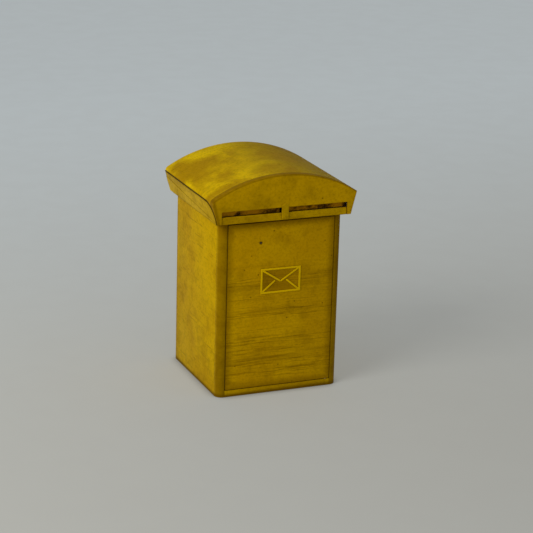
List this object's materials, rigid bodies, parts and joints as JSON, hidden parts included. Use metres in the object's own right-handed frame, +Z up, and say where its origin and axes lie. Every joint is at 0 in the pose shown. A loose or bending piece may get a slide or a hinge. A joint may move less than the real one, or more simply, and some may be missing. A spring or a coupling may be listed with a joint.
{
  "type": "post box",
  "caption": "Free-standing street post box: square cabinet with a front door, flared and vaulted hood, and posting slots with swinging flaps.",
  "frame": {"origin": "middle of the footprint, on the ground under the base plate", "axes": "+X to the right seen from the front, +Y to the back, +Z up; the door and the slots face -Y"},
  "size_m": [0.8246, 0.741, 1.221],
  "materials": {
    "yellow_paint": "satin yellow paint, slightly worn at the edges",
    "zinc_steel": "zinc-coated sheet",
    "lock_steel": "dark turned steel",
    "dark_flap": "dark brown, matt",
    "seal_rubber": "matt black",
    "brass": "cut brass",
    "bin_plastic": "moulded grey plastic"
  },
  "bodies": {
    "cabinet": {"base_plate": "zinc_steel", "bin_rails": "zinc_steel", "corner_post_front_left": "yellow_paint", "corner_post_front_right": "yellow_paint", "corner_post_rear_left": "yellow_paint", "corner_post_rear_right": "yellow_paint", "side_panel_left": "yellow_paint", "side_panel_right": "yellow_paint", "back_panel": "yellow_paint", "door_head": "yellow_paint", "door_threshold": "yellow_paint", "top_ring": "zinc_steel", "door_stop": "yellow_paint", "door_seal": "seal_rubber", "hood_base": "yellow_paint", "hood_bolts": "zinc_steel", "front_gable": "yellow_paint", "rear_gable": "yellow_paint", "eave_panel_left": "yellow_paint", "eave_panel_right": "yellow_paint", "roof_sheet": "yellow_paint", "slot_sill": "yellow_paint", "slot_divider": "yellow_paint", "flap_brackets": "zinc_steel", "chute_left": "zinc_steel", "chute_right": "zinc_steel", "partition": "zinc_steel", "mail_bin_left": "bin_plastic", "mail_bin_right": "bin_plastic", "pivot_washer": "brass"},
    "door": {"door_skin": "yellow_paint", "door_tray": "zinc_steel", "door_ribs": "zinc_steel", "door_emblem": "yellow_paint", "pivot_blocks": "lock_steel", "pivot_pins": "lock_steel", "lock_housing": "yellow_paint", "lock_back_plate": "zinc_steel", "lock_pillars": "zinc_steel", "rod_guides": "zinc_steel"},
    "lock": {"lock_core": "lock_steel", "lock_pinion": "brass"},
    "upper_rod": {"latch_rod_upper": "zinc_steel"},
    "lower_rod": {"latch_rod_lower": "zinc_steel"},
    "bolt": {"side_bolt": "zinc_steel"},
    "flap_left": {"slot_flap_left": "dark_flap", "flap_rod_left": "lock_steel"},
    "flap_right": {"slot_flap_right": "dark_flap", "flap_rod_right": "lock_steel"}
  },
  "joints": [
    {"name": "door_hinge", "type": "hinge", "parent": "cabinet", "child": "door", "pos_m": [0.283, -0.332, 0.5], "axis": [0, 0, 1], "range_deg": [0, 110]},
    {"name": "lock_turn", "type": "hinge", "parent": "door", "child": "lock", "pos_m": [-0.118, -0.33, 0.849], "axis": [0, 1, 0], "range_deg": [0, 90]},
    {"name": "upper_rod_slide", "type": "slide", "parent": "door", "child": "upper_rod", "axis": [0, 0, 1], "range_m": [0, 0.0213]},
    {"name": "lower_rod_slide", "type": "slide", "parent": "door", "child": "lower_rod", "axis": [0, 0, -1], "range_m": [0, 0.0212]},
    {"name": "side_bolt_slide", "type": "slide", "parent": "door", "child": "bolt", "axis": [-1, 0, 0], "range_m": [0, 0.0213]},
    {"name": "flap_left_hinge", "type": "hinge", "parent": "cabinet", "child": "flap_left", "pos_m": [-0.19, -0.3627, 1.05], "axis": [1, 0, 0], "range_deg": [0, 75]},
    {"name": "flap_right_hinge", "type": "hinge", "parent": "cabinet", "child": "flap_right", "pos_m": [0.19, -0.3627, 1.05], "axis": [1, 0, 0], "range_deg": [0, 75]}
  ],
  "couplings": [
    {"joint": "lock_turn", "follows": "lower_rod_slide", "rad_per_m": 74.074},
    {"joint": "upper_rod_slide", "follows": "lower_rod_slide", "ratio": 1},
    {"joint": "side_bolt_slide", "follows": "lower_rod_slide", "ratio": 1}
  ]
}
